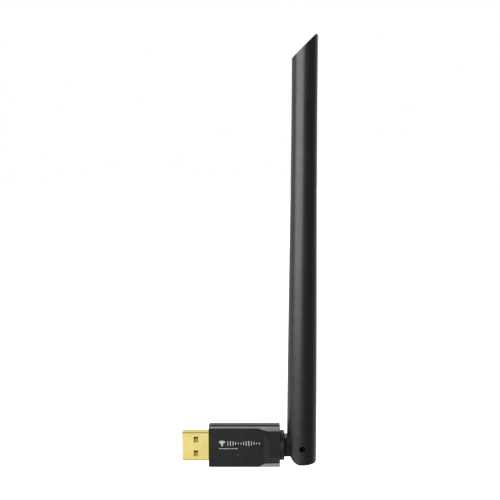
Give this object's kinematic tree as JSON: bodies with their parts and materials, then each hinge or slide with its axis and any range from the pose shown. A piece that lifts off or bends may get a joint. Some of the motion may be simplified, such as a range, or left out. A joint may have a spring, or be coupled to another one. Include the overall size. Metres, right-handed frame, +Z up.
{
  "type": "usb wifi adapter",
  "caption": "USB wifi adapter: gold plug, flat black housing, and a long slant-tipped antenna that swivels and folds on a knuckle at the housing's end.",
  "frame": {"origin": "centre of the USB plug's section, where the plug enters the housing", "axes": "+X from the plug to the antenna's knuckle, along the swivel axis; +Z up along the unfolded antenna; the front face looks along -Y"},
  "size_m": [0.0568, 0.0126, 0.1804],
  "materials": {
    "black_plastic": "satin moulded ABS",
    "trim_grey": "satin silver-grey paint",
    "gold_plate": "bright gold plate on steel",
    "steel": "plain",
    "black_steel": "black oxide",
    "brass": "drawn tube",
    "copper": null,
    "beige_plastic": "moulded",
    "board_green": "solder mask on glass-epoxy board",
    "chip_black": "moulded chip package",
    "ceramic_tan": "fired, unglazed",
    "ferrite_grey": "ferrite",
    "clear_green": "clear, tinted",
    "cable_grey": "coax jacket",
    "foam_white": null
  },
  "bodies": {
    "housing": {"front_cover": "black_plastic", "rear_cover": "black_plastic", "trim_strip_upper": "trim_grey", "trim_strip_lower": "trim_grey", "usb_shell": "gold_plate", "usb_insulator": "beige_plastic", "usb_contact_power": "gold_plate", "usb_contact_data_minus": "gold_plate", "usb_contact_data_plus": "gold_plate", "usb_contact_ground": "gold_plate", "circuit_board": "board_green", "wifi_chip": "chip_black", "memory_chip": "chip_black", "voltage_regulator": "chip_black", "crystal": "steel", "status_led": "clear_green", "capacitor_1": "ceramic_tan", "capacitor_2": "ceramic_tan", "capacitor_3": "ceramic_tan", "capacitor_4": "ceramic_tan", "resistor_1": "chip_black", "resistor_2": "chip_black", "resistor_3": "chip_black", "power_inductor": "ferrite_grey", "light_pipe": "clear_green", "coax_housing": "cable_grey"},
    "swivel": {"swivel_base": "black_plastic", "swivel_washer": "steel", "coax_swivel": "cable_grey"},
    "antenna": {"antenna_sheath": "black_plastic", "hinge_pin_front": "black_steel", "hinge_pin_rear": "black_steel", "coax_antenna": "cable_grey", "dipole_sleeve": "brass", "radiator_wire": "copper", "foam_spacer_lower": "foam_white", "foam_spacer_upper": "foam_white"}
  },
  "joints": [
    {"name": "antenna_swivel", "type": "hinge", "parent": "housing", "child": "swivel", "pos_m": [0.028, 0, 0], "axis": [1, 0, 0], "range_deg": [-90, 90]},
    {"name": "antenna_fold", "type": "hinge", "parent": "swivel", "child": "antenna", "pos_m": [0.03926, 0, 0], "axis": [0, 1, 0], "range_deg": [0, 90]}
  ]
}
